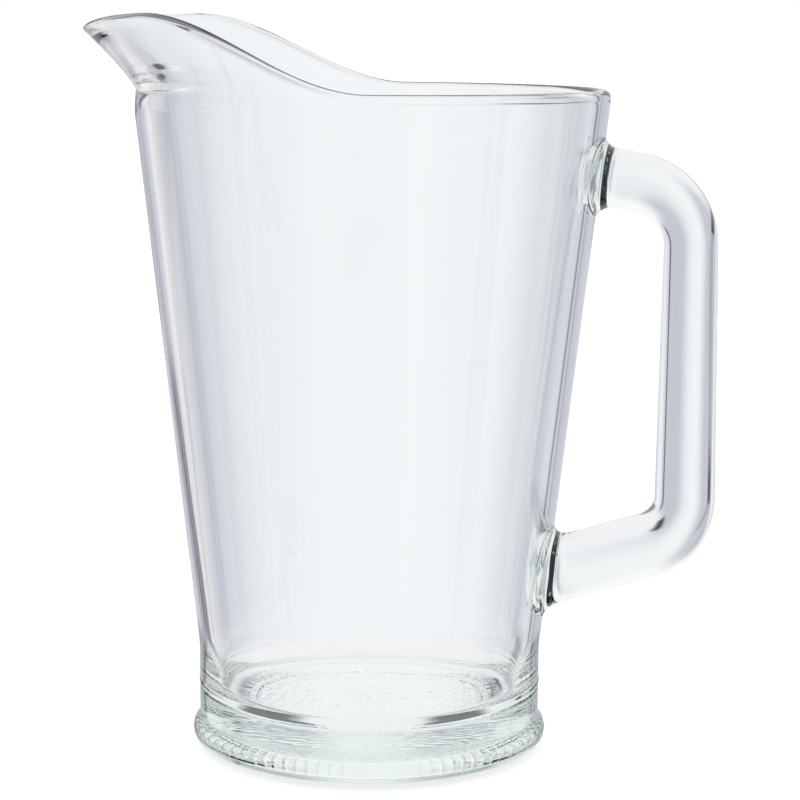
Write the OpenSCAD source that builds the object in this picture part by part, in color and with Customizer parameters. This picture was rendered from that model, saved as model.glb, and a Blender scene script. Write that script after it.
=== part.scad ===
// Beer pitcher in clear pressed glass. A tapered round wall stands on a thick base
// with a beaded foot, the rim sweeps up to a pulled pouring lip, and a solid glass
// handle is fused to the wall at two flared roots.
// Millimetres. The origin is the centre of the underside on the table, +Z is up,
// the handle is toward +X and the lip is toward -X.

/* [Wall] */
// Height of the level part of the rim above the table
rim_height = 197.7; // [185:0.1:215]
// Outside diameter at the top of the tapered wall
rim_diameter = 140.0; // [130:0.1:150]
// Outside diameter of the straight band at the foot of the wall
band_diameter = 103.1; // [96:0.1:110]
// Height at which the band ends and the taper begins
band_height = 31.0; // [28:0.1:40]
// Glass thickness at the top of the wall
rim_wall = 4.2; // [3.4:0.1:5.5]
// Glass thickness where the wall meets the base
band_wall = 5.0; // [4:0.1:6.5]

/* [Base] */
// Height of the flat floor inside the pitcher
floor_height = 14.0; // [11:0.1:16]
// Radius of the round corner between floor and wall
floor_corner = 9.5; // [5:0.1:11]
// How far the beaded foot stands out beyond the band
foot_flare = 2.05; // [1:0.05:3]
// Radius of the bead around the foot
foot_bead = 4.7; // [4:0.1:5.5]
// How far the bead rounds in under the foot, from its widest line to the rest ring
foot_round = 8.5; // [5:0.1:11]
// Height at which the bead has run out into the band
bead_top = 10.2; // [9.8:0.1:12]
// Width of the flat ring that the pitcher rests on
rest_width = 6.5; // [5:0.1:9]
// Height of the hollow in the underside
hollow_depth = 2.2; // [1:0.1:3.5]
// Width of the sloping edge of that hollow
hollow_slope = 2.6; // [1:0.1:4]

/* [Knurled foot] */
// Number of notches around the rest ring
knurl_count = 72; // [48:1:84]
// Width of one notch
knurl_width = 1.9; // [1.2:0.1:2.2]
// Depth of one notch
knurl_depth = 0.5; // [0.3:0.05:0.8]
// How far the notches reach in from the outer edge of the rest ring
knurl_reach = 1.2; // [0.5:0.1:5]

/* [Rim and lip] */
// Height of the rim ring above the top of the tapered wall, at its level part
rim_band = 3.4; // [3:0.1:5]
// Height of the rounded edge of the rim
rim_round = 2.3; // [1.6:0.1:2.6]
// Rise from the level rim to the shoulders beside the lip
lip_rise = 21.4; // [15:0.1:28]
// How far the lip is pulled out beyond the shoulders
lip_reach = 14.2; // [8:0.1:18]
// Dip of the lip's tip below the shoulders
lip_dip = 4.2; // [2:0.1:6]
// How far the shoulders lean out beyond the wall
shoulder_lean = 1.4; // [0:0.1:3]
// Angle from the lip at which the rim starts to rise
rise_angle = 94; // [88:1:115]
// Angle from the lip at which the shoulders are level
shoulder_angle = 38; // [20:1:45]
// Angle from the lip at which the rim starts to flare out to it
beak_angle = 70; // [45:1:85]
// Depth of the notch under the lip, where it leaves the wall
groove_depth = 1.3; // [0.5:0.1:1.8]
// Height of the ledge inside, where the pouring channel starts
ledge_height = 5.6; // [3:0.1:9]
// Half thickness of the lip at its tip
tip_half = 1.2; // [0.8:0.1:1.8]

/* [Handle] */
// Distance of the upper root's centre below the level rim
handle_drop = 25.0; // [22:0.1:34]
// Height of the lower root's centre above the table
handle_low = 53.3; // [50:0.1:60]
// Distance from the outside of the rim to the centre of the grip
grip_offset = 24.3; // [22:0.1:32]
// Slope of the upper arm, down from the wall
upper_slope = 9.5; // [0:0.5:15]
// Slope of the lower arm, up from the wall
lower_slope = 17.0; // [5:0.5:22]
// Bend radius of the handle's centre line at the top
upper_bend = 19.0; // [15:0.5:22]
// Bend radius of the handle's centre line at the bottom
lower_bend = 15.5; // [13:0.5:20]
// Thickness of the upper arm
upper_depth = 17.4; // [14:0.1:20]
// Thickness of the top of the grip
grip_top_depth = 16.0; // [13:0.1:19]
// Thickness of the bottom of the grip
grip_low_depth = 17.9; // [14:0.1:21]
// Thickness of the lower arm
lower_depth = 19.2; // [15:0.1:21]
// Width of the handle across the grip
grip_width = 21.0; // [17:0.1:26]
// Squareness of the handle's section, 2 is a plain oval
grip_square = 2.4; // [2:0.1:3]
// Radius of the root's flare on the inner side of the handle's loop
flare_inner = 5.5; // [4:0.1:10]
// Radius of the root's flare on the outer side of the handle's loop
flare_outer = 4.0; // [2:0.1:5]

/* [Hidden] */
$fn = 96;

glass = [0.84, 0.91, 0.89, 0.55];
rim_r = rim_diameter / 2;
band_r = band_diameter / 2;
joint_z = rim_height - rim_band;
base_top = floor_height + floor_corner;
bore_r = band_r - band_wall;
bore_top_r = rim_r - rim_wall;
taper = (rim_r - band_r) / (joint_z - band_height);
foot_r = band_r + foot_flare;
rest_r = foot_r - foot_round;
rest_in = rest_r - rest_width;
// Angle up the bead at which its straight run to the band begins
bead_angle = 38;
knurl_r = (knurl_width * knurl_width / 4 + knurl_depth * knurl_depth) / (2 * knurl_depth);
// The notch and the ledge start just above the wall and grow as the rim rises
groove_start = 0.4;
groove_rise = 2.4;
groove_run = 3;
ledge_start = 0.5;
// How closely the dip and the notch keep to the lip's middle
dip_power = 3.5;
notch_power = 6;
// Hollow of the line under the lip and round of the channel in it, 1 is straight
keel_curve = 1.13;
channel_curve = 1.2;
// Part of a flare's radius that its round covers, and where the buried end stops
flare_span = 0.92;
flare_limit = 0.985;
// Depth of the handle's ends before they are cut to the wall, and the run over
// which its sections turn to lie along the wall
root_sink = 5;
root_blend = 14;
// Steps along the rounds
bead_steps = 16;
corner_steps = 10;
crest_steps = 8;
flare_steps = 4;
bend_steps = 10;
grip_steps = 8;
sides = 32;
handle_z = rim_height - handle_drop;
grip_x = rim_r + grip_offset;
// Directions around the rim, counted from the lip, closer together at the lip
lip_near = [for (a = [-45:1.5:45]) a];
lip_rise_a = [for (a = [48:3:96]) a];
lip_back = [for (a = [100:4:260]) a];
lip_rise_b = [for (a = [-96:3:-48]) a];
rim_angles = concat(lip_near, lip_rise_a, lip_back, lip_rise_b);

function arc(c, r, a0, a1, n) =
    [for (i = [0:n]) c + r * [cos(a0 + (a1 - a0) * i / n), sin(a0 + (a1 - a0) * i / n)]];
function clamp(t) = min(1, max(0, t));
function smooth(t) = let (c = clamp(t)) c * c * (3 - 2 * c);
function mix(a, b, t) = a + (b - a) * t;
function wall_r(z) = band_r + taper * max(0, z - band_height);
function inside_r(z) = mix(bore_r, bore_top_r, (z - base_top) / (joint_z - base_top));

// Point of the bead at an angle from its widest line; below it the round is drawn out
function bead_point(a) = let (depth = a < 0 ? foot_round : foot_bead)
    [foot_r - depth * (1 - cos(a)), foot_bead * (1 + sin(a))];

// Profile of the base: underside hollow, rest ring, bead, seat, floor corner, floor
function base_profile() = concat(
    [[0, hollow_depth], [rest_in - hollow_slope, hollow_depth], [rest_in, 0]],
    [for (i = [0:bead_steps]) bead_point(mix(-90, bead_angle, i / bead_steps))],
    [[band_r, bead_top], [band_r, base_top]],
    arc([bore_r - floor_corner, base_top], floor_corner, 0, -90, corner_steps),
    [[0, floor_height]]);

function wall_profile() =
    [[bore_r, base_top], [band_r, base_top], [band_r, band_height],
     [rim_r, joint_z], [bore_top_r, joint_z]];

// Shape of the rim at one direction: 0 is the lip, 180 the handle side
function turn(phi) = abs(phi) > 180 ? 360 - abs(phi) : abs(phi);
function rise(a) = smooth((rise_angle - a) / (rise_angle - shoulder_angle));
function beak(a) = a < beak_angle ? 0.5 + 0.5 * cos(180 * a / beak_angle) : 0;
function crest_z(a) = rim_height + lip_rise * rise(a) - lip_dip * pow(beak(a), dip_power);
function crest_r(a) = rim_r - rim_wall / 2 + shoulder_lean * rise(a) + lip_reach * beak(a);

// Closed section of the rim ring at one direction, as [radius, height] points
function rim_section(a) = let (
    half = mix(rim_wall / 2, tip_half, beak(a)),
    round_h = mix(rim_round, tip_half, beak(a)),
    lift = clamp((crest_z(a) - rim_height) / groove_run),
    foot = [rim_r, joint_z],
    edge_z = joint_z + ledge_start + ledge_height * rise(a),
    groove = foot + [-groove_depth * pow(beak(a), notch_power), groove_start + groove_rise * lift],
    top = [crest_r(a), crest_z(a) - round_h],
    out_top = top + [half, 0],
    in_top = top - [half, 0],
    ledge = [inside_r(edge_z), edge_z],
    channel = mix(1, channel_curve, beak(a)))
    concat(
        [foot],
        [for (i = [0:flare_steps - 1]) let (t = i / flare_steps)
            [mix(groove.x, out_top.x, pow(t, keel_curve)), mix(groove.y, out_top.y, t)]],
        [for (i = [0:crest_steps]) let (t = 180 * i / crest_steps)
            top + [half * cos(t), round_h * sin(t)]],
        [for (i = [1:flare_steps]) let (t = i / flare_steps)
            [mix(in_top.x, ledge.x, t), mix(in_top.y, ledge.y, pow(t, channel))]],
        [[bore_top_r, joint_z]]);

// Ring of triangles between closed sections that follow one another
function skin(rings, n, closed) = [for (i = [0:rings - (closed ? 1 : 2)]) for (j = [0:n - 1])
    let (p = i * n + j, q = i * n + (j + 1) % n,
         r = ((i + 1) % rings) * n + j, s = ((i + 1) % rings) * n + (j + 1) % n)
    for (f = [[p, r, q], [q, r, s]]) f];

// Centre line of the handle: two arms, a grip and two bends, as [x, z, direction]
upper_start = [wall_r(handle_z), handle_z];
lower_start = [wall_r(handle_low), handle_low];
upper_corner = [grip_x, handle_z - (grip_x - upper_start.x) * tan(upper_slope)];
lower_corner = [grip_x, handle_low + (grip_x - lower_start.x) * tan(lower_slope)];
upper_turn = 90 - upper_slope;
lower_turn = 90 - lower_slope;
upper_cut = upper_bend * tan(upper_turn / 2);
lower_cut = lower_bend * tan(lower_turn / 2);
upper_len = norm(upper_corner - upper_start) - upper_cut;
lower_len = norm(lower_corner - lower_start) - lower_cut;
root_steps = [-root_sink, -2.4, -1.5, -0.8, -0.3, 0.2, 0.7, 1.3, 2, 2.9, 4, 5.4, 7.2, 10, 14];
lean = atan(taper);

function dir(a) = [cos(a), sin(a)];
function bend_at(corner, a, cut, r, t, turn) =
    corner - cut * dir(a) + r * (dir(a - 90) + dir(a + 90 - turn * t));
// Near the wall the sections turn until they lie along it
function toward_wall(s) = smooth((root_blend - s) / root_blend);
function arm(start, slope, s, depth) = let (off = (slope + lean) * toward_wall(s))
    concat(start + s * dir(slope), [slope - off, depth / cos(off)]);
function upper_arm() = [for (s = root_steps) arm(upper_start, -upper_slope, s, upper_depth)];
function top_bend() = [for (i = [0:bend_steps]) let (t = i / bend_steps)
    concat(bend_at(upper_corner, -upper_slope, upper_cut, upper_bend, t, upper_turn),
           [-upper_slope - upper_turn * t, mix(upper_depth, grip_top_depth, smooth(t))])];
function grip() = [for (i = [1:grip_steps - 1]) let (t = i / grip_steps)
    [grip_x, mix(upper_corner.y - upper_cut, lower_corner.y + lower_cut, t), -90,
     mix(grip_top_depth, grip_low_depth, t)]];
function low_bend() = [for (i = [0:bend_steps]) let (t = i / bend_steps)
    concat(bend_at(lower_corner, -90, lower_cut, lower_bend, t, lower_turn),
           [-90 - lower_turn * t, mix(grip_low_depth, lower_depth, smooth(t))])];
function lower_arm() = [for (i = [len(root_steps) - 1:-1:0])
    let (s = arm(lower_start, lower_slope, root_steps[i], lower_depth))
    [s[0], s[1], s[2] - 180, s[3]]];
function handle_path() = concat(upper_arm(), top_bend(), grip(), low_bend(), lower_arm());

// Flare of the root: a round fillet of radius r at distance d from the wall
function flare(d, r) = let (t = min(flare_limit * r, flare_span * r - d))
    t > 0 ? r - sqrt(r * r - t * t) : 0;
function power(c) = sign(c) * pow(abs(c), 2 / grip_square);
function handle_point(s, a) = let (
    out = [-sin(s[2]), cos(s[2])],
    u = s[3] / 2 * power(cos(a)),
    v = grip_width / 2 * power(sin(a)),
    p = [s[0] + out[0] * u, v, s[1] + out[1] * u],
    d = norm([p.x, p.y]) - wall_r(p.z),
    f = flare(d, mix(flare_inner, flare_outer, 0.5 + 0.5 * cos(a))))
    p + f * [out[0] * cos(a), sin(a), out[1] * cos(a)];

module foot_base() {
    color(glass) difference() {
        rotate_extrude() polygon(base_profile());
        for (i = [0:knurl_count - 1])
            rotate(i * 360 / knurl_count)
                translate([rest_r - knurl_reach, 0, knurl_depth - knurl_r])
                    rotate([0, 90, 0])
                        cylinder(r = knurl_r, h = knurl_reach + foot_round);
    }
}

module body_wall() {
    color(glass) rotate_extrude() polygon(wall_profile());
}

module spout_rim() {
    section = len(rim_section(0));
    points = [for (phi = rim_angles) for (p = rim_section(turn(phi)))
        [p[0] * cos(180 + phi), p[0] * sin(180 + phi), p[1]]];
    color(glass) polyhedron(points, skin(len(rim_angles), section, true), 10);
}

module handle() {
    path = handle_path();
    count = len(path);
    points = [for (s = path) for (j = [0:sides - 1]) handle_point(s, 360 * j / sides)];
    first = [for (j = [0:sides - 1]) j];
    last = [for (j = [sides - 1:-1:0]) (count - 1) * sides + j];
    color(glass) difference() {
        polyhedron(points, concat(skin(count, sides, false), [first, last]), 10);
        rotate_extrude() polygon(concat([[0, base_top], [0, joint_z]],
            [[rim_r, joint_z], [band_r, band_height], [band_r, base_top]]));
    }
}

foot_base();
body_wall();
spout_rim();
handle();
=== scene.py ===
# %% [markdown]
# # A clear glass beer pitcher
# The pitcher is one piece of pressed glass: a tapered wall on a thick footed base, a rim that
# sweeps up to a pulled lip, and a solid glass handle fused to the wall. Glass shows no colour of
# its own. What the eye sees is the room, bent by every surface, so this lesson spends its effort
# on true surfaces inside and out, and on a studio with something bright and something dark in it.

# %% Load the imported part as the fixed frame
import math

import bpy
import numpy as np
from mathutils import Matrix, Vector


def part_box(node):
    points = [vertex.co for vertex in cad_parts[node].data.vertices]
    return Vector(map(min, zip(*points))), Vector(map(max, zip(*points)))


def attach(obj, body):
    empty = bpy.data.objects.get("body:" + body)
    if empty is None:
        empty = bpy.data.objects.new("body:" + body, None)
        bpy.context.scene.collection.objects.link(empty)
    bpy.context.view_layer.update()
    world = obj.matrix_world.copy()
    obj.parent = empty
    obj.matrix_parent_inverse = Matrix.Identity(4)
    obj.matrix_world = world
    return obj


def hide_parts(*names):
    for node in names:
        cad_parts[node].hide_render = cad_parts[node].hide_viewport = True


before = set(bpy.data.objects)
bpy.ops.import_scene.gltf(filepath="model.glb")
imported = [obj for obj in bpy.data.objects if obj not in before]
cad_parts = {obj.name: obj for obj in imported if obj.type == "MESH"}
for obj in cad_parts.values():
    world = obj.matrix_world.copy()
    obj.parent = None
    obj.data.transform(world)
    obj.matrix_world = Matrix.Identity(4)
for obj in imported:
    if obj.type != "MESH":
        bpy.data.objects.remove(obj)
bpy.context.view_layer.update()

MM = 0.001

# %% [markdown]
# The driving sizes repeat those of the solids, in millimetres. The rim's width and the heights
# where base, wall and rim meet are measured from the loaded nodes, so the visual model follows
# the frame.

# %% Sizes of the pitcher
wall_low, wall_high = (np.array(corner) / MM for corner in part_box("body_wall"))

JOINT_Z = float(wall_high[2])
BASE_TOP = float(wall_low[2])
RIM_R = float(min(wall_high[0], wall_high[1]))
RIM_BAND = 3.4
RIM_HEIGHT = JOINT_Z + RIM_BAND
RIM_WALL = 4.2
BAND_R = 51.55
BAND_HEIGHT = 31.0
BAND_WALL = 5.0
FLOOR_HEIGHT = 14.0
FLOOR_CORNER = BASE_TOP - FLOOR_HEIGHT
BORE_R = BAND_R - BAND_WALL
BORE_TOP_R = RIM_R - RIM_WALL
TAPER = (RIM_R - BAND_R) / (JOINT_Z - BAND_HEIGHT)
print(f"rim {RIM_HEIGHT:.1f} mm high and {2 * RIM_R:.1f} mm across, band {2 * BAND_R:.1f} mm")


def mix(a, b, t):
    """Goes from a to b as t goes from 0 to 1."""
    return a + (b - a) * t


def smooth(t):
    """Eases from 0 to 1."""
    t = np.clip(t, 0.0, 1.0)
    return t * t * (3.0 - 2.0 * t)


def wall_r(z):
    """Outside radius of the wall at a height."""
    return BAND_R + TAPER * np.maximum(0.0, z - BAND_HEIGHT)


def inside_r(z):
    """Inside radius of the wall at a height."""
    return mix(BORE_R, BORE_TOP_R, (z - BASE_TOP) / (JOINT_Z - BASE_TOP))


# %% [markdown]
# Glass needs both of its skins, because light bends at each of them. So the vessel is one closed
# surface: it starts under the base, goes out over the foot, up the wall, over the rim, down the
# inside and across the floor. A turned profile could make all of it but the lip. Here each ring
# of the surface is a radius and a height for every direction around the axis, and the lip is only
# a change of those two numbers with the angle. Six columns to each notch of the foot leave enough
# points for the notches that come later.

# %% A surface built of rings
KNURL_COUNT = 72
COLUMNS = KNURL_COUNT * 6

phi = np.linspace(-180.0, 180.0, COLUMNS, endpoint=False)
rings = []


def ring(radius, height):
    """Adds one ring: a radius and a height, each one number or one for every direction."""
    rings.append((np.broadcast_to(radius, COLUMNS), np.broadcast_to(height, COLUMNS)))


def rings_between(start, end, steps, first=0):
    """Adds rings on the straight run from one (radius, height) to another."""
    for i in range(first, steps + 1):
        ring(mix(start[0], end[0], i / steps), mix(start[1], end[1], i / steps))


print(f"each ring has {COLUMNS} points")

# %% [markdown]
# The pitcher stands on a flat rest ring, and the hollow inside it keeps the middle of the bottom
# off the table. The mould leaves a round bead round the foot, drawn in below and drawn up above
# into the straight band. The bead is an ellipse's arc below its middle and a circle's arc above.
# The rings lie close together in the hollow and on the rest ring, where dots and notches are
# pressed in later.

# %% Underside and foot
CENTRE_R = 1.5
HOLLOW_DEPTH = 2.2
HOLLOW_SLOPE = 2.6
HOLLOW_RINGS = 22
DOT_BAND = (27.0, 35.6)
DOT_RINGS = 16
SLOPE_RINGS = 5
REST_WIDTH = 6.5
REST_RINGS = 10
FOOT_BEAD = 4.7
FOOT_ROUND = 8.5
FOOT_FLARE = 2.05
BEAD_ANGLE = 38.0
BEAD_RINGS = 16
NECK_TOP = 10.8
NECK_CURVE = 1.7
NECK_RINGS = 5
REST_R = BAND_R + FOOT_FLARE - FOOT_ROUND
REST_IN = REST_R - REST_WIDTH


def underside():
    dots_in, dots_out = ((radius, HOLLOW_DEPTH) for radius in DOT_BAND)
    rings_between((CENTRE_R, HOLLOW_DEPTH), dots_in, HOLLOW_RINGS)
    rings_between(dots_in, dots_out, DOT_RINGS, first=1)
    for i in range(1, SLOPE_RINGS + 1):
        t = i / SLOPE_RINGS
        ring(REST_IN - HOLLOW_SLOPE * (1 - t), HOLLOW_DEPTH * (1 - smooth(t)))
    rings_between((REST_IN, 0.0), (REST_R, 0.0), REST_RINGS, first=1)


def foot():
    for i in range(1, BEAD_RINGS + 1):
        a = math.radians(mix(-90.0, BEAD_ANGLE, i / BEAD_RINGS))
        depth = FOOT_ROUND if a < 0 else FOOT_BEAD
        bead_r = BAND_R + FOOT_FLARE - depth * (1 - math.cos(a))
        bead_z = FOOT_BEAD + FOOT_BEAD * math.sin(a)
        ring(bead_r, bead_z)
    for i in range(1, NECK_RINGS + 1):
        t = i / NECK_RINGS
        ring(mix(bead_r, BAND_R, 1 - (1 - t) ** NECK_CURVE), mix(bead_z, NECK_TOP, t))


underside()
foot()
print(f"{len(rings)} rings under the base and round the foot, rest ring {2 * REST_R:.1f} mm across")

# %% [markdown]
# The outside of the wall is a straight band and, above it, a straight taper. Two marks of the
# mould catch the light: a faint raised line round the band, where the bottom plate meets the
# mould's sides, and a soft edge where the taper starts. Each is a few rings that stand proud by
# a tenth of a millimetre or so. The runs of the wall have more rings where the handle's two roots
# join it.

# %% Outside of the wall
# A run is a low height, a high height and the steps between them
BAND_LOW = (11.6, 18.6, 7)
BAND_HIGH = (23.0, 28.5, 2)
BAND_LINE = 20.0
SHOULDER_DROP = 5.0
SHOULDER_GAP = 1.5
WALL_TOP = JOINT_Z - SHOULDER_DROP - SHOULDER_GAP
WALL_RUNS = ((38.0, 68.0, 10), (72.0, 148.0, 4), (151.0, WALL_TOP, 12))
# How far up from the line or the edge, and how far proud of the wall
LINE_PROUD = ((-0.8, 0.05), (-0.3, 0.16), (0.1, 0.16), (0.6, 0.05), (1.2, 0.0))
EDGE_PROUD = ((-1.0, 0.04), (0.0, 0.13), (1.0, 0.04), (3.0, 0.0))


def wall_run(low, high, steps):
    rings_between((wall_r(low), low), (wall_r(high), high), steps)


def proud_rings(middle, offsets):
    for up, proud in offsets:
        ring(wall_r(middle + up) + proud, middle + up)


def outside():
    wall_run(*BAND_LOW)
    proud_rings(BAND_LINE, LINE_PROUD)
    wall_run(*BAND_HIGH)
    proud_rings(BAND_HEIGHT, EDGE_PROUD)
    for run in WALL_RUNS:
        wall_run(*run)


outside()
print(f"{len(rings)} rings up to {WALL_TOP:.1f} mm")

# %% [markdown]
# The rim is level at the handle's side. Towards the front it rises to two shoulders, and between
# them it is pulled out into the pouring lip, which dips a little at its tip. A pulled lip could
# be sculpted, but it follows a rule: rise and beak are two eased waves of the angle, and the
# crest's height and reach are sums of them. Under the lip the wall is pinched in where the mould's
# top ring starts. The crest is a half round that grows thin at the tip, and inside it the channel
# runs down to a soft ledge.

# %% Rim and lip
LIP_RISE = 21.4
LIP_REACH = 14.2
LIP_DIP = 4.2
DIP_POWER = 3.5
RISE_ANGLE = 94.0
SHOULDER_ANGLE = 38.0
SHOULDER_LEAN = 1.4
BEAK_ANGLE = 70.0
GROOVE_DEPTH = 1.3
GROOVE_POWER = 6.0
GROOVE_START, GROOVE_RISE = 0.6, 2.8
GROOVE_RUN = 3.0
KEEL_CURVE = 1.13
CHANNEL_CURVE = 1.2
LEDGE_START, LEDGE_HEIGHT = 0.5, 5.6
RIM_ROUND = 2.3
TIP_HALF = 1.2
CREST_STEPS = 14
SHOULDER_RUN = (0.0, 0.15, 0.3, 0.45, 0.6, 0.75, 0.88, 1.0)
KEEL_RUN = (0.04, 0.1, 0.18, 0.3, 0.45, 0.6, 0.75, 0.9)
CHANNEL_RUN = (0.12, 0.3, 0.5, 0.7, 0.86, 0.95, 0.985, 1.0)
LEDGE_RUN = (0.03, 0.1, 0.25, 0.5, 1.0)

turn = np.abs(phi)
rise = smooth((RISE_ANGLE - turn) / (RISE_ANGLE - SHOULDER_ANGLE))
beak = np.where(turn < BEAK_ANGLE, 0.5 + 0.5 * np.cos(np.pi * turn / BEAK_ANGLE), 0.0)
crest_z = RIM_HEIGHT + LIP_RISE * rise - LIP_DIP * beak ** DIP_POWER
crest_r = RIM_R - RIM_WALL / 2 + SHOULDER_LEAN * rise + LIP_REACH * beak
half = mix(RIM_WALL / 2, TIP_HALF, beak)
round_h = mix(RIM_ROUND, TIP_HALF, beak)


def keel():
    """The outside of the lip, from the wall's top over the pinch to the crest."""
    lift = np.clip((crest_z - RIM_HEIGHT) / GROOVE_RUN, 0.0, 1.0)
    pinch = GROOVE_DEPTH * beak ** GROOVE_POWER
    groove_z = JOINT_Z + mix(GROOVE_START, GROOVE_RISE, lift)
    for t in SHOULDER_RUN:
        height = mix(JOINT_Z - SHOULDER_DROP, groove_z, t)
        ring(np.minimum(wall_r(height), RIM_R) - pinch * smooth(t), height)
    for t in KEEL_RUN:
        reach = mix(RIM_R - pinch, crest_r + half, t ** KEEL_CURVE)
        ring(reach, mix(groove_z, crest_z - round_h, t))


def crest():
    """The half round along the rim's top."""
    for i in range(CREST_STEPS + 1):
        a = math.pi * i / CREST_STEPS
        ring(crest_r + half * math.cos(a), crest_z - round_h * (1 - math.sin(a)))


def channel():
    """The inside of the lip, from the crest down to the ledge and on to the bore."""
    ledge_z = JOINT_Z + LEDGE_START + LEDGE_HEIGHT * rise
    curve = mix(1.0, CHANNEL_CURVE, beak)
    for t in CHANNEL_RUN:
        reach = mix(crest_r - half, inside_r(ledge_z), t)
        ring(reach, mix(crest_z - round_h, ledge_z, t ** curve))
    for t in LEDGE_RUN:
        height = mix(ledge_z, JOINT_Z, t)
        ring(inside_r(height), height)


keel()
crest()
channel()
print(f"lip reaches {crest_r.max() + TIP_HALF:.1f} mm from the axis, shoulders {crest_z.max():.1f} mm high")

# %% [markdown]
# The plunger that presses the glass shapes the inside: a smooth tapered bore, a large round corner
# and a flat floor. The corner is a quarter circle, because it bends the light most and a coarse
# one would show as stripes.

# %% Inside and floor
BORE_INSET = (4.0, 2.0)
BORE_RINGS = 8
CORNER_STEPS = 14
FLOOR_INSET = 1.5
FLOOR_RINGS = 5


def inside():
    high, low = JOINT_Z - BORE_INSET[0], BASE_TOP + BORE_INSET[1]
    rings_between((inside_r(high), high), (inside_r(low), low), BORE_RINGS)
    for i in range(CORNER_STEPS + 1):
        a = -math.pi / 2 * i / CORNER_STEPS
        ring(BORE_R - FLOOR_CORNER * (1 - math.cos(a)), BASE_TOP + FLOOR_CORNER * math.sin(a))
    floor_r = BORE_R - FLOOR_CORNER - FLOOR_INSET
    rings_between((floor_r, FLOOR_HEIGHT), (CENTRE_R, FLOOR_HEIGHT), FLOOR_RINGS)


inside()
print(f"{len(rings)} rings in all")

# %% [markdown]
# The rings are joined by quads, and a small fan closes each end on the axis. Faces run the same
# way round everywhere, so they all point out of the glass.

# %% Skin the vessel


def new_piece(name, points, faces):
    """A mesh object at the origin, smooth shaded, from points in millimetres."""
    mesh = bpy.data.meshes.new(name)
    mesh.from_pydata((np.asarray(points) * MM).tolist(), [], faces)
    mesh.validate()
    mesh.shade_smooth()
    piece = bpy.data.objects.new(name, mesh)
    bpy.context.scene.collection.objects.link(piece)
    return piece


def vessel_mesh():
    angle = np.radians(180.0 + phi)
    points = [np.stack([r * np.cos(angle), r * np.sin(angle), z], axis=1) for r, z in rings]
    points.append(np.array([[0.0, 0.0, HOLLOW_DEPTH], [0.0, 0.0, FLOOR_HEIGHT]]))
    bottom = len(rings) * COLUMNS
    top = bottom + 1
    last = bottom - COLUMNS
    around = [(j, (j + 1) % COLUMNS) for j in range(COLUMNS)]
    faces = []
    for low in range(0, last, COLUMNS):
        high = low + COLUMNS
        faces += [(low + j, low + k, high + k, high + j) for j, k in around]
    for j, k in around:
        faces.append((bottom, k, j))
        faces.append((top, last + j, last + k))
    return new_piece("vessel", np.concatenate(points), faces)


vessel = vessel_mesh()
print("vessel:", len(vessel.data.vertices), "points,", len(vessel.data.polygons), "faces")

# %% [markdown]
# Node trees are easier to read as sums than as boxes and wires. One small class wraps a socket:
# arithmetic on it adds Math nodes, and its one method adds any other node. It serves the shaders
# and the Geometry Nodes trees alike.

# %% A socket that does arithmetic


class Socket:
    """A node's output that takes part in Python sums."""

    def __init__(self, tree, output):
        self.tree = tree
        self.output = output

    def node(self, kind, settings=None, values=None, out=0):
        """Adds a node: its settings first, then the values or links of its inputs."""
        return add_node(self.tree, kind, settings, values, out)

    def math(self, operation, *others):
        values = dict(enumerate((self,) + others))
        return self.node("ShaderNodeMath", {"operation": operation}, values)

    def __add__(self, other):
        return self.math("ADD", other)

    __radd__ = __add__

    def __mul__(self, other):
        return self.math("MULTIPLY", other)

    __rmul__ = __mul__

    def __sub__(self, other):
        return self.math("SUBTRACT", other)

    def __rsub__(self, other):
        return (self * -1.0) + other

    def __truediv__(self, other):
        return self.math("DIVIDE", other)

    def ease(self, low, high):
        """Eases from 0 at low to 1 at high."""
        settings = {"interpolation_type": "SMOOTHSTEP"}
        return self.node("ShaderNodeMapRange", settings, {0: self, 1: low, 2: high})


def add_node(tree, kind, settings=None, values=None, out=0):
    """Adds one node to a tree and returns one of its outputs as a Socket."""
    node = tree.nodes.new(kind)
    for name, value in (settings or {}).items():
        setattr(node, name, value)
    for name, value in (values or {}).items():
        if isinstance(value, Socket):
            tree.links.new(value.output, node.inputs[name])
        else:
            node.inputs[name].default_value = value
    return Socket(tree, node.outputs[out]) if len(node.outputs) else node


def xyz(vector):
    """The three parts of a vector."""
    return [vector.node("ShaderNodeSeparateXYZ", None, {0: vector}, out=i) for i in range(3)]


def noise(vector, scale, detail):
    """Soft noise from 0 to 1 at a place."""
    return vector.node("ShaderNodeTexNoise", None, {"Vector": vector, "Scale": scale, "Detail": detail})


# %% [markdown]
# Two Geometry Nodes trees follow, and both start and end alike: they take a mesh, named sizes and
# a material, and they end in Realize Instances and Set Material. A tree's result is then kept as
# a plain mesh and its modifier is removed, so nothing is left to be worked out later.

# %% Start, end and run a Geometry Nodes tree


def start_tree(name, sizes):
    """A new tree with its inputs, and those inputs as Sockets by name."""
    tree = bpy.data.node_groups.new(name, "GeometryNodeTree")
    kinds = {"Geometry": "NodeSocketGeometry", **{size: "NodeSocketFloat" for size in sizes}}
    kinds["Material"] = "NodeSocketMaterial"
    for label, kind in kinds.items():
        tree.interface.new_socket(label, in_out="INPUT", socket_type=kind)
    tree.interface.new_socket("Geometry", in_out="OUTPUT", socket_type="NodeSocketGeometry")
    source = tree.nodes.new("NodeGroupInput")
    return tree, {label: Socket(tree, source.outputs[label]) for label in kinds}


def end_tree(geometry, material):
    """Makes the geometry real, gives it the material and sends it to the tree's output."""
    solid = geometry.node("GeometryNodeRealizeInstances", None, {"Geometry": geometry})
    coated = solid.node("GeometryNodeSetMaterial", None, {"Geometry": solid, "Material": material})
    coated.node("NodeGroupOutput", None, {0: coated})


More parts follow.
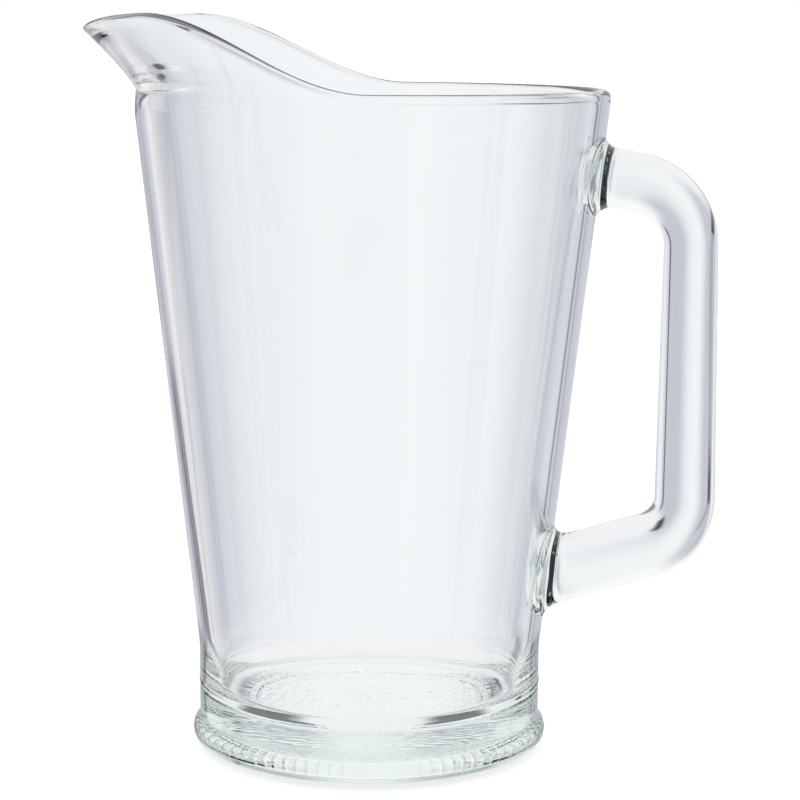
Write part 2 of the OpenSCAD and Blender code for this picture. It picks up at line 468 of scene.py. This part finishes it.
def apply_tree(piece, tree, sizes, material):
    """Runs a tree on a piece and keeps the result as the piece's own plain mesh."""
    modifier = piece.modifiers.new(tree.name, "NODES")
    modifier.node_group = tree
    for item in tree.interface.items_tree:
        if item.in_out == "INPUT" and item.name in sizes:
            modifier[item.identifier] = float(sizes[item.name])
        if item.in_out == "INPUT" and item.name == "Material":
            modifier[item.identifier] = material
    graph = bpy.context.evaluated_depsgraph_get()
    made = bpy.data.meshes.new_from_object(piece.evaluated_get(graph))
    piece.modifiers.remove(modifier)
    old, piece.data = piece.data, made
    bpy.data.meshes.remove(old)
    made.name = piece.name
    print(f"{tree.name}: {len(made.polygons)} faces on {piece.name}")


# %% [markdown]
# Under a bar pitcher's foot run knurl notches that keep it from sliding and from sticking to a wet
# bar. They lie over the whole rest ring, deepest at its inner part. The hollow inside the ring has
# rows of small dots, and the mould's skin leaves the whole foot a little mottled. Each could be
# cut by hand or painted on as a bump. All of it follows a rule, so one tree presses it into the
# finished surface: it moves each point by a depth that follows from its radius, angle and height.

# %% Geometry Nodes: notches, dots and mottling of the foot
KNURL_REACH, KNURL_PAST = 9.6, 3.6
DOT_INSET = (0.8, 0.4)
PRESS_SIZES = {
    "Knurl Count": KNURL_COUNT,
    "Knurl Depth": 0.18 * MM,
    "Knurl Inner": (REST_R - KNURL_REACH) * MM,
    "Knurl Outer": (REST_R + KNURL_PAST) * MM,
    "Knurl Fade In": 1.2 * MM,
    "Knurl Fade Out": 2.0 * MM,
    "Deep Width": 4.0 * MM,
    "Shallow From": 8.0 * MM,
    "Dot Height": 0.1 * MM,
    "Dot Pitch": 2.4 * MM,
    "Dot Inner": (DOT_BAND[0] + DOT_INSET[0]) * MM,
    "Dot Outer": (DOT_BAND[1] - DOT_INSET[1]) * MM,
    "Dot Fade": 0.6 * MM,
    "Underside": 4.0 * MM,
    "Mottle Depth": 0.12 * MM,
    "Mottle Scale": 380.0,
    "Mottle Top": 12.5 * MM,
}
# Where on the wave round the axis a notch starts and is full; a dot sums that wave and its row's
NOTCH_WAVE = (0.6, 1.0)
DOT_WAVE = (0.7, 1.8)
FACING_DOWN = (0.1, 0.4)
SHALLOW_LOSS = 0.7
MOTTLE_FADE = 0.8


def notches(size, radius, beat):
    """How deep the notches cut, from the distance to the axis and the wave round it."""
    inner, outer = size["Knurl Inner"], size["Knurl Outer"]
    starts = radius.ease(inner, inner + size["Knurl Fade In"])
    stops = 1 - radius.ease(outer - size["Knurl Fade Out"], outer)
    shallow = radius.ease(inner + size["Deep Width"], inner + size["Shallow From"])
    return beat.ease(*NOTCH_WAVE) * (starts * stops) * (1 - SHALLOW_LOSS * shallow) * size["Knurl Depth"]


def dots(size, radius, beat):
    """How high the dots' hollows rise into the glass, in rows that share the notches' wave."""
    row = (radius * (2 * math.pi) / size["Dot Pitch"]).math("COSINE")
    inner, outer, fade = size["Dot Inner"], size["Dot Outer"], size["Dot Fade"]
    band = radius.ease(inner - fade, inner + fade) * (1 - radius.ease(outer - fade, outer + fade))
    return (row + beat).ease(*DOT_WAVE) * band * size["Dot Height"]


def press_tree():
    tree, size = start_tree("press the underside", PRESS_SIZES)
    place = add_node(tree, "GeometryNodeInputPosition")
    facing = add_node(tree, "GeometryNodeInputNormal")
    x, y, z = xyz(place)
    radius = (x * x + y * y).math("SQRT")
    beat = (y.math("ARCTAN2", x) * size["Knurl Count"]).math("COSINE")
    down = xyz(facing)[2] * -1.0
    low = (1 - z.ease(0.5 * size["Underside"], size["Underside"])) * down.ease(*FACING_DOWN)
    lift = (notches(size, radius, beat) + dots(size, radius, beat)) * low

    patchy = noise(place, size["Mottle Scale"], detail=1.0)
    foot_only = 1 - z.ease(MOTTLE_FADE * size["Mottle Top"], size["Mottle Top"])
    sunk = patchy * size["Mottle Depth"] * foot_only * -1.0
    pressed = facing.node("ShaderNodeVectorMath", {"operation": "SCALE"}, {0: facing, "Scale": sunk})
    offset = lift.node("ShaderNodeCombineXYZ", None, {2: lift})
    offset = offset.node("ShaderNodeVectorMath", {"operation": "ADD"}, {0: offset, 1: pressed})
    values = {"Geometry": size["Geometry"], "Offset": offset}
    end_tree(offset.node("GeometryNodeSetPosition", None, values), size["Material"])
    return tree


underside_press = press_tree()
print(f"{underside_press.name}: {len(underside_press.nodes)} nodes")

# %% [markdown]
# The glass itself is a Principled surface that lets all light through and bends it as soda-lime
# glass does. Pressed glass is never quite even: the hot mould leaves slow ripples, which a faint
# bump gives, and the hollow under the base is stippled, which a finer bump gives there alone.
# Handling leaves patches that are a little less bright, which vary the colour and the roughness.
# A thin volume inside takes a little red and blue out of long paths, so thick glass looks green
# when it is seen edge on, as in the foot and along the far rim.

# %% Glass
GLASS_IOR = 1.52
TINT = (0.72, 0.87, 0.79, 1.0)
TINT_DENSITY = 6.0
RIPPLE_SCALE, RIPPLE_DETAIL = 34.0, 1.5
RIPPLE_HEIGHT = 0.00008
RIPPLE_STRETCH = (1.0, 1.0, 0.35)
STIPPLE_SCALE = 450.0
STIPPLE_HEIGHT = 0.0002
STIPPLE_TOP = (2.2 * MM, 3.4 * MM)
STIPPLE_EDGE = (34.0 * MM, 36.0 * MM)
MARK_SCALE, MARK_DETAIL = 55.0, 4.0
MARK_EDGE = (0.55, 0.8)
MARK_TONE = (0.975, 0.985, 0.98, 1.0)
MARK_HAZE = 0.02
WHITE = (1.0, 1.0, 1.0, 1.0)


def blend(factor, low, high):
    """A colour between two, by a factor."""
    return factor.node("ShaderNodeMix", {"data_type": "RGBA"}, {0: factor, 6: low, 7: high}, out=2)


def pressed_glass():
    material = bpy.data.materials.new("clear glass")
    material.use_nodes = True
    tree = material.node_tree
    tree.nodes.clear()
    coords = add_node(tree, "ShaderNodeTexCoord", out="Object")
    stretched = coords.node("ShaderNodeMapping", None, {"Vector": coords, "Scale": RIPPLE_STRETCH})
    ripple = noise(stretched, RIPPLE_SCALE, RIPPLE_DETAIL)
    x, y, z = xyz(coords)
    hollow = (1 - z.ease(*STIPPLE_TOP)) * (1 - (x * x + y * y).math("SQRT").ease(*STIPPLE_EDGE))
    stipple = noise(coords, STIPPLE_SCALE, detail=0.0)
    height = ripple * RIPPLE_HEIGHT + stipple * hollow * STIPPLE_HEIGHT
    handled = noise(coords, MARK_SCALE, MARK_DETAIL).ease(*MARK_EDGE)
    skin = add_node(tree, "ShaderNodeBsdfPrincipled", None, {
        "Transmission Weight": 1.0,
        "IOR": GLASS_IOR,
        "Base Color": blend(handled, WHITE, MARK_TONE),
        "Roughness": handled * MARK_HAZE,
        "Normal": height.node("ShaderNodeBump", None, {"Strength": 1.0, "Distance": 1.0, "Height": height}),
    })
    depth = add_node(tree, "ShaderNodeVolumeAbsorption", None, {"Color": TINT, "Density": TINT_DENSITY})
    add_node(tree, "ShaderNodeOutputMaterial", None, {"Surface": skin, "Volume": depth})
    return material


clear_glass = pressed_glass()
apply_tree(vessel, underside_press, PRESS_SIZES, clear_glass)

# %% [markdown]
# The handle is a solid bar of glass, a rounded oval in section, bent to a loop: an upper arm, a
# bend, the grip, a second bend and a lower arm. A curve with a bevel could make the bar, but not
# its roots. So the section is carried along the centre line by formula. Near the wall it turns
# to lie along the wall and flares out in a fillet, as hot glass does where it is pressed on.

# %% The handle's centre line and section
HANDLE_Z = RIM_HEIGHT - 25.0
HANDLE_LOW = 53.3
GRIP_X = RIM_R + 24.3
UPPER_SLOPE = math.radians(9.5)
LOWER_SLOPE = math.radians(17.0)
UPPER_DEPTH, GRIP_TOP_DEPTH, GRIP_LOW_DEPTH, LOWER_DEPTH = 17.4, 16.0, 17.9, 19.2
GRIP_WIDTH = 21.0
GRIP_SQUARE = 2.4
FLARE_INNER = 5.5
FLARE_OUTER = 4.0
FLARE_SPAN = 0.92
FLARE_LIMIT = 0.985
SIDES = 64

side = 2 * np.pi * np.arange(SIDES) / SIDES
upper_start = np.array([wall_r(HANDLE_Z), HANDLE_Z])
lower_start = np.array([wall_r(HANDLE_LOW), HANDLE_LOW])
upper_corner = np.array([GRIP_X, HANDLE_Z - (GRIP_X - upper_start[0]) * math.tan(UPPER_SLOPE)])
lower_corner = np.array([GRIP_X, HANDLE_LOW + (GRIP_X - lower_start[0]) * math.tan(LOWER_SLOPE)])


def heading(a):
    """A step of one millimetre in a direction, in the plane of the handle."""
    return np.array([math.cos(a), math.sin(a)])


def squared(c):
    """Makes a circle's cosine or sine that of a slightly squared oval."""
    return np.sign(c) * np.abs(c) ** (2 / GRIP_SQUARE)


def section(centre, direction, depth):
    """Points of the bar's section round one place on its centre line, with the root's flare."""
    out_x, out_z = -np.sin(direction), np.cos(direction)
    u = depth / 2 * squared(np.cos(side))
    v = GRIP_WIDTH / 2 * squared(np.sin(side))
    points = np.stack([centre[0] + out_x * u, v, centre[1] + out_z * u], axis=-1)
    away = np.hypot(points[:, 0], points[:, 1]) - wall_r(points[:, 2])
    radius = mix(FLARE_INNER, FLARE_OUTER, 0.5 + 0.5 * np.cos(side))
    reach = np.clip(np.minimum(FLARE_LIMIT * radius, FLARE_SPAN * radius - away), 0.0, None)
    flare = radius - np.sqrt(radius ** 2 - reach ** 2)
    grow = np.stack([out_x * np.cos(side), np.sin(side), out_z * np.cos(side)], axis=-1)
    return points + flare[:, None] * grow


print(f"grip {GRIP_X:.1f} mm from the axis, arms on the wall at {HANDLE_Z:.1f} and {HANDLE_LOW} mm")

# %% [markdown]
# An arm starts inside the wall, so that nothing is left open when the two are fused. Where each
# line along the bar meets that depth is found by halving a span again and again. The sections lie
# close together at the root, where the fillet bends fast, and further apart towards the bend.

# %% Arms, bends and grip
UPPER_BEND = 19.0
LOWER_BEND = 15.5
BEND_STEPS = 22
GRIP_STEPS = 14
ROOT_BLEND = 14.0
ROOT_SPAN = (-9.0, 4.0)
HALVINGS = 30
SINK = 1.6
BEND_GAP = 0.4
LEAN = math.atan(TAPER)
ROOT_RUN = (0.0, 0.02, 0.045, 0.08, 0.12, 0.17, 0.23, 0.3, 0.38, 0.47, 0.57, 0.68, 0.8, 0.9, 1.0)


def arm_section(start, slope, along, depth, back):
    """One section of an arm, with its own place along the arm for each point."""
    rows = np.empty((SIDES, 3))
    for i, s in enumerate(np.broadcast_to(along, SIDES)):
        off = (slope + LEAN) * smooth((ROOT_BLEND - s) / ROOT_BLEND)
        direction = slope - off - (math.pi if back else 0.0)
        rows[i] = section(start + s * heading(slope), direction, depth / math.cos(off))[i]
    return rows


def root_line(start, slope, depth, back):
    """How far along the arm each line of the bar reaches the sunken depth, found by halving."""
    low, high = (np.full(SIDES, end) for end in ROOT_SPAN)
    for _ in range(HALVINGS):
        middle = (low + high) / 2
        rows = arm_section(start, slope, middle, depth, back)
        outside_wall = np.hypot(rows[:, 0], rows[:, 1]) - wall_r(rows[:, 2]) + SINK > 0
        high = np.where(outside_wall, middle, high)
        low = np.where(outside_wall, low, middle)
    return (low + high) / 2


def arm(start, slope, radius, depth, back=False):
    """Sections of an arm from inside the wall to just before its bend."""
    cut = radius * math.tan((math.pi / 2 - abs(slope)) / 2)
    length = (GRIP_X - start[0]) / math.cos(slope) - cut - BEND_GAP
    first = root_line(start, slope, depth, back)
    return [arm_section(start, slope, mix(first, length, t), depth, back) for t in ROOT_RUN]


def bend(corner, a, radius, whole, depths):
    """Sections round a bend that turns clockwise by the angle whole."""
    start = corner - radius * math.tan(whole / 2) * heading(a)
    rows = []
    for i in range(BEND_STEPS + 1):
        t = i / BEND_STEPS
        swing = heading(a - math.pi / 2) + heading(a + math.pi / 2 - whole * t)
        rows.append(section(start + radius * swing, a - whole * t, mix(*depths, smooth(t))))
    return rows


def grip():
    top = upper_corner[1] - UPPER_BEND * math.tan((math.pi / 2 - UPPER_SLOPE) / 2)
    low = lower_corner[1] + LOWER_BEND * math.tan((math.pi / 2 - LOWER_SLOPE) / 2)
    rows = []
    for t in np.linspace(0, 1, GRIP_STEPS)[1:-1]:
        depth = mix(GRIP_TOP_DEPTH, GRIP_LOW_DEPTH, t)
        rows.append(section((GRIP_X, mix(top, low, t)), -math.pi / 2, depth))
    return rows


upper_arm = arm(upper_start, -UPPER_SLOPE, UPPER_BEND, UPPER_DEPTH)
lower_arm = arm(lower_start, LOWER_SLOPE, LOWER_BEND, LOWER_DEPTH, back=True)
print(f"{len(upper_arm) + len(lower_arm)} sections of the arms, sunk {SINK} mm into the wall")

# %% [markdown]
# The sections are joined by quads like the vessel's rings. Each root is closed by a few shrinking
# rings that keep to the sunken depth in the wall, so the cap never comes near the bore.

# %% Skin the handle
CAP_RINGS = (0.9, 0.7, 0.45, 0.2)
SHARP_EDGE = math.radians(50)


def cap(edge):
    """Rings that close a root, each lying at the sunken depth in the wall."""
    middle = edge.mean(axis=0)
    rows = []
    for share in CAP_RINGS:
        points = middle + (edge - middle) * share
        around = np.arctan2(points[:, 1], points[:, 0])
        r = wall_r(points[:, 2]) - SINK
        rows.append(np.stack([r * np.cos(around), r * np.sin(around), points[:, 2]], axis=1))
    return rows


def handle_mesh():
    quarter = math.pi / 2
    rows = cap(upper_arm[0])[::-1] + upper_arm
    depths = UPPER_DEPTH, GRIP_TOP_DEPTH
    rows += bend(upper_corner, -UPPER_SLOPE, UPPER_BEND, quarter - UPPER_SLOPE, depths)
    rows += grip()
    depths = GRIP_LOW_DEPTH, LOWER_DEPTH
    rows += bend(lower_corner, -quarter, LOWER_BEND, quarter - LOWER_SLOPE, depths)
    rows += lower_arm[::-1] + cap(lower_arm[0])
    last = (len(rows) - 1) * SIDES
    faces = []
    for low in range(0, last, SIDES):
        high = low + SIDES
        for j in range(SIDES):
            k = (j + 1) % SIDES
            faces.append((low + j, high + j, high + k, low + k))
    faces.append(tuple(range(SIDES)))
    faces.append(tuple(last + j for j in reversed(range(SIDES))))
    return new_piece("glass_handle", np.concatenate(rows), faces)


handle = handle_mesh()
handle.data.set_sharp_from_angle(angle=SHARP_EDGE)
print("handle:", len(handle.data.vertices), "points,", len(handle.data.polygons), "faces")

# %% [markdown]
# On the real pitcher the hot handle melts into the wall, and no skin is left between them. Two
# pieces that only touch would keep one, and it would show as a mirror, because glass guides light
# along its inside. So a Boolean union in a second tree fuses bar and wall into one closed surface,
# and the line where they meet stays a crisp crease.

# %% Geometry Nodes: fuse the handle to the wall


def fuse_tree(bar_object):
    tree, size = start_tree("fuse the handle", ())
    bar = add_node(tree, "GeometryNodeObjectInfo", None, {"Object": bar_object}, out="Geometry")
    settings = {"operation": "UNION", "solver": "EXACT"}
    union = add_node(tree, "GeometryNodeMeshBoolean", settings, {"Mesh 2": size["Geometry"]}, out="Mesh")
    joined = union.output.node
    tree.links.new(bar.output, joined.inputs["Mesh 2"])
    seam = Socket(tree, joined.outputs["Intersecting Edges"])
    values = {"Geometry": union, "Selection": seam, "Shade Smooth": False}
    end_tree(union.node("GeometryNodeSetShadeSmooth", {"domain": "EDGE"}, values), size["Material"])
    return tree


apply_tree(vessel, fuse_tree(handle), {}, clear_glass)
bpy.data.objects.remove(handle)
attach(vessel, "root")
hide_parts("foot_base", "body_wall", "spout_rim", "handle")

# %% [markdown]
# The pitcher stands on a pale light table: white paper with a glow of its own, which keeps its
# tone even and its shadows faint. Rays that have passed through glass skip the paper and meet the
# light tent below, so the table seems lit from underneath.

# %% Floor
FLOOR_SIZE = 60.0
FLOOR_GLOW = 0.62
PAPER_TONE = (0.6, 0.6, 0.6, 1.0)

bpy.ops.mesh.primitive_plane_add(size=FLOOR_SIZE)
floor = bpy.context.object
floor.name = "floor"
paper = bpy.data.materials.new("pale paper")
paper.use_nodes = True
paper_skin = paper.node_tree.nodes["Principled BSDF"].inputs
paper_skin["Base Color"].default_value = PAPER_TONE
paper_skin["Roughness"].default_value = 1.0
paper_skin["Specular IOR Level"].default_value = 0.0
paper_skin["Emission Color"].default_value = WHITE
paper_skin["Emission Strength"].default_value = FLOOR_GLOW
floor.data.materials.append(paper)
floor.visible_transmission = False
floor.visible_glossy = False
print(f"floor: {FLOOR_SIZE} m of pale paper")

# %% [markdown]
# Clear glass on white is drawn by its dark edges. A photographer builds a tent of white panels
# round the glass and leaves dark seams between them: the panels fill the middle of each wall with
# light, and the seams bend into thin dark lines near its sides. The world is that tent, and every
# tone depends only on a ray's direction. Lamps and cards could be set up as objects, but a world
# keeps them out of the other views. Each panel is brightest in its middle and falls off, a little
# lavender, towards its edges, and the panels at the camera's side are softer.

# %% Panels and seams of the light tent
SEAMS = (32.0, 64.0, 109.0, 244.0, 289.0)
SEAM_WIDTH = math.radians(2.4)
SEAM_TONE = (0.06, 0.068, 0.085, 1.0)
PANELS = 7
PANEL_TURN = math.radians(-4.0)
PANEL_FALL = (-0.35, 1.25)
EDGE_TONE = (0.555, 0.565, 0.63, 1.0)
HOT_TONE = (0.935, 0.96, 0.975, 1.0)
FRONT_TONE = (0.77, 0.78, 0.82, 1.0)
FRONT_EDGE = (-0.2, 0.4)
TINY = 0.0001


def white_panels(x, y, around):
    """Tones of the upright panels, by direction around the pitcher, with the seams between them."""
    level = (x * x + y * y).math("SQRT").math("MAXIMUM", TINY)
    nearest = -1.0
    for seam in SEAMS:
        a = math.radians(seam)
        nearest = ((x * math.sin(a) + y * math.cos(a)) / level).math("MAXIMUM", nearest)
    from_seam = nearest.math("MINIMUM", 1.0).math("ARCCOSINE")
    hot = ((around - PANEL_TURN) * PANELS).math("COSINE").ease(*PANEL_FALL)
    front = (y / level * -1.0).ease(*FRONT_EDGE)
    walls = blend(hot, blend(front, EDGE_TONE, FRONT_TONE), HOT_TONE)
    return blend(from_seam.ease(0.0, SEAM_WIDTH), SEAM_TONE, walls)


print(f"{PANELS} panels, {len(SEAMS)} seams")

# %% [markdown]
# Three more things stand in the tent. A leaning black flag draws the dark line inside the left
# wall, and a bright card beside it keeps the glass next to that line clear. Low gaps between the
# panels and the table, at the right and in the corners, give the dark strokes of the thick base.
# The table below is a soft near-white and the roof is white. The camera itself sees plain white
# behind the pitcher, as a photographer's backdrop would be.

# %% Flag, card, gaps, table and roof
GAP_TONE = (0.02, 0.027, 0.032, 1.0)
LEAN_SEAM = math.radians(-19.0)
LEAN_SLOPE = math.radians(64.5)
LEAN_EDGE = (math.radians(2.4), math.radians(5.2))
LEAN_TOP = (0.0, 0.06)
LEAN_FAINT = 0.3
LEAN_FULL = (0.17, 0.20)
CARD = (-66.0, -60.0, -41.0, -36.0)
CARD_TONE = (0.86, 0.86, 0.87, 1.0)
RIGHT_GAP = (8.0, 11.0, 17.0, 20.0)
RIGHT_DROP = (0.29, 0.36, 0.38, 0.47)
CORNER = (38.0, 52.0, 78.0, 104.0)
CORNER_DROP = (0.36, 0.48, 0.90, 0.96)
CORNER_DARK = 0.85
TABLE_DROP = (0.28, 0.5)
TABLE_TONE = (0.90, 0.90, 0.93, 1.0)
ROOF_RISE = (0.12, 0.45)


def between(value, start, full, fall, end):
    """Eases up from start to full and down again from fall to end."""
    return value.ease(start, full) * (1 - value.ease(fall, end))


def sector(around, degrees):
    """A soft-edged stretch of the horizon, from four angles in degrees."""
    return between(around, *(math.radians(a) for a in degrees))


def light_tent():
    world = bpy.data.worlds.new("light tent")
    bpy.context.scene.world = world
    world.use_nodes = True
    tree = world.node_tree
    x, y, z = xyz(add_node(tree, "ShaderNodeTexCoord", out="Generated"))
    around = x.math("ARCTAN2", y)
    drop = z * -1.0
    tones = blend(sector(around, CARD), white_panels(x, y, around), CARD_TONE)
    lean = (around - LEAN_SEAM - z * LEAN_SLOPE).math("ABSOLUTE")
    flag = (1 - lean.ease(*LEAN_EDGE)) * drop.ease(*LEAN_TOP)
    flag = flag * (LEAN_FAINT + (1 - LEAN_FAINT) * drop.ease(*LEAN_FULL))
    tones = blend(flag, tones, GAP_TONE)
    tones = blend(drop.ease(*TABLE_DROP), tones, TABLE_TONE)
    tones = blend(z.ease(*ROOF_RISE), tones, WHITE)
    right_gap = sector(around, RIGHT_GAP) * between(drop, *RIGHT_DROP)
    corners = sector(around.math("ABSOLUTE"), CORNER) * between(drop, *CORNER_DROP)
    tones = blend(right_gap + CORNER_DARK * corners, tones, GAP_TONE)
    seen = blend(add_node(tree, "ShaderNodeLightPath", out="Is Camera Ray"), tones, WHITE)
    tree.links.new(seen.output, tree.nodes["Background"].inputs["Color"])
    return world


tent = light_tent()
print(f"{tent.name}: {len(tent.node_tree.nodes)} nodes")

# %% [markdown]
# The camera stands a little above the rim, about five rim widths away, and looks down nine
# degrees. The handle's side is turned about four degrees towards it.

# %% Camera
CAMERA_TURN = math.radians(4.25)
CAMERA_TILT = math.radians(9.067)
CAMERA_ROLL = math.radians(0.39)
CAMERA_DISTANCE = 0.711
CAMERA_HEIGHT = 0.2182
CAMERA_ASIDE = 0.00879
LENS = 108.0
SENSOR = 36.0

camera = bpy.data.objects.new("camera", bpy.data.cameras.new("camera"))
bpy.context.scene.collection.objects.link(camera)
across = np.array([math.cos(CAMERA_TURN), math.sin(CAMERA_TURN), 0.0])
back = np.array([math.sin(CAMERA_TURN), -math.cos(CAMERA_TURN), 0.0])
up = np.array([0.0, 0.0, 1.0])
camera.location = CAMERA_DISTANCE * back + CAMERA_ASIDE * across + CAMERA_HEIGHT * up
facing = Matrix.Rotation(CAMERA_TURN, 3, "Z") @ Matrix.Rotation(math.pi / 2 - CAMERA_TILT, 3, "X")
camera.rotation_euler = (facing @ Matrix.Rotation(CAMERA_ROLL, 3, "Z")).to_euler()
camera.data.lens = LENS
camera.data.sensor_width = SENSOR
bpy.context.scene.camera = camera
print("camera at", [round(value, 3) for value in camera.location])

# %% [markdown]
# A ray crosses at least four skins of glass on its way through the pitcher, and it bounces along
# inside the handle and the base before it leaves, so the limits on bounces are high. Rays that
# are still caught in the rim and the roots after that end black, which suits those dark edges.
# The plain Standard view keeps white paper white.

# %% Render settings that suit glass
scene = bpy.context.scene
scene.view_settings.view_transform = "Standard"
scene.cycles.max_bounces = 32
scene.cycles.transmission_bounces = 32
scene.cycles.glossy_bounces = 12
scene.cycles.diffuse_bounces = 4
scene.cycles.use_denoising = True
print("bounces:", scene.cycles.max_bounces)
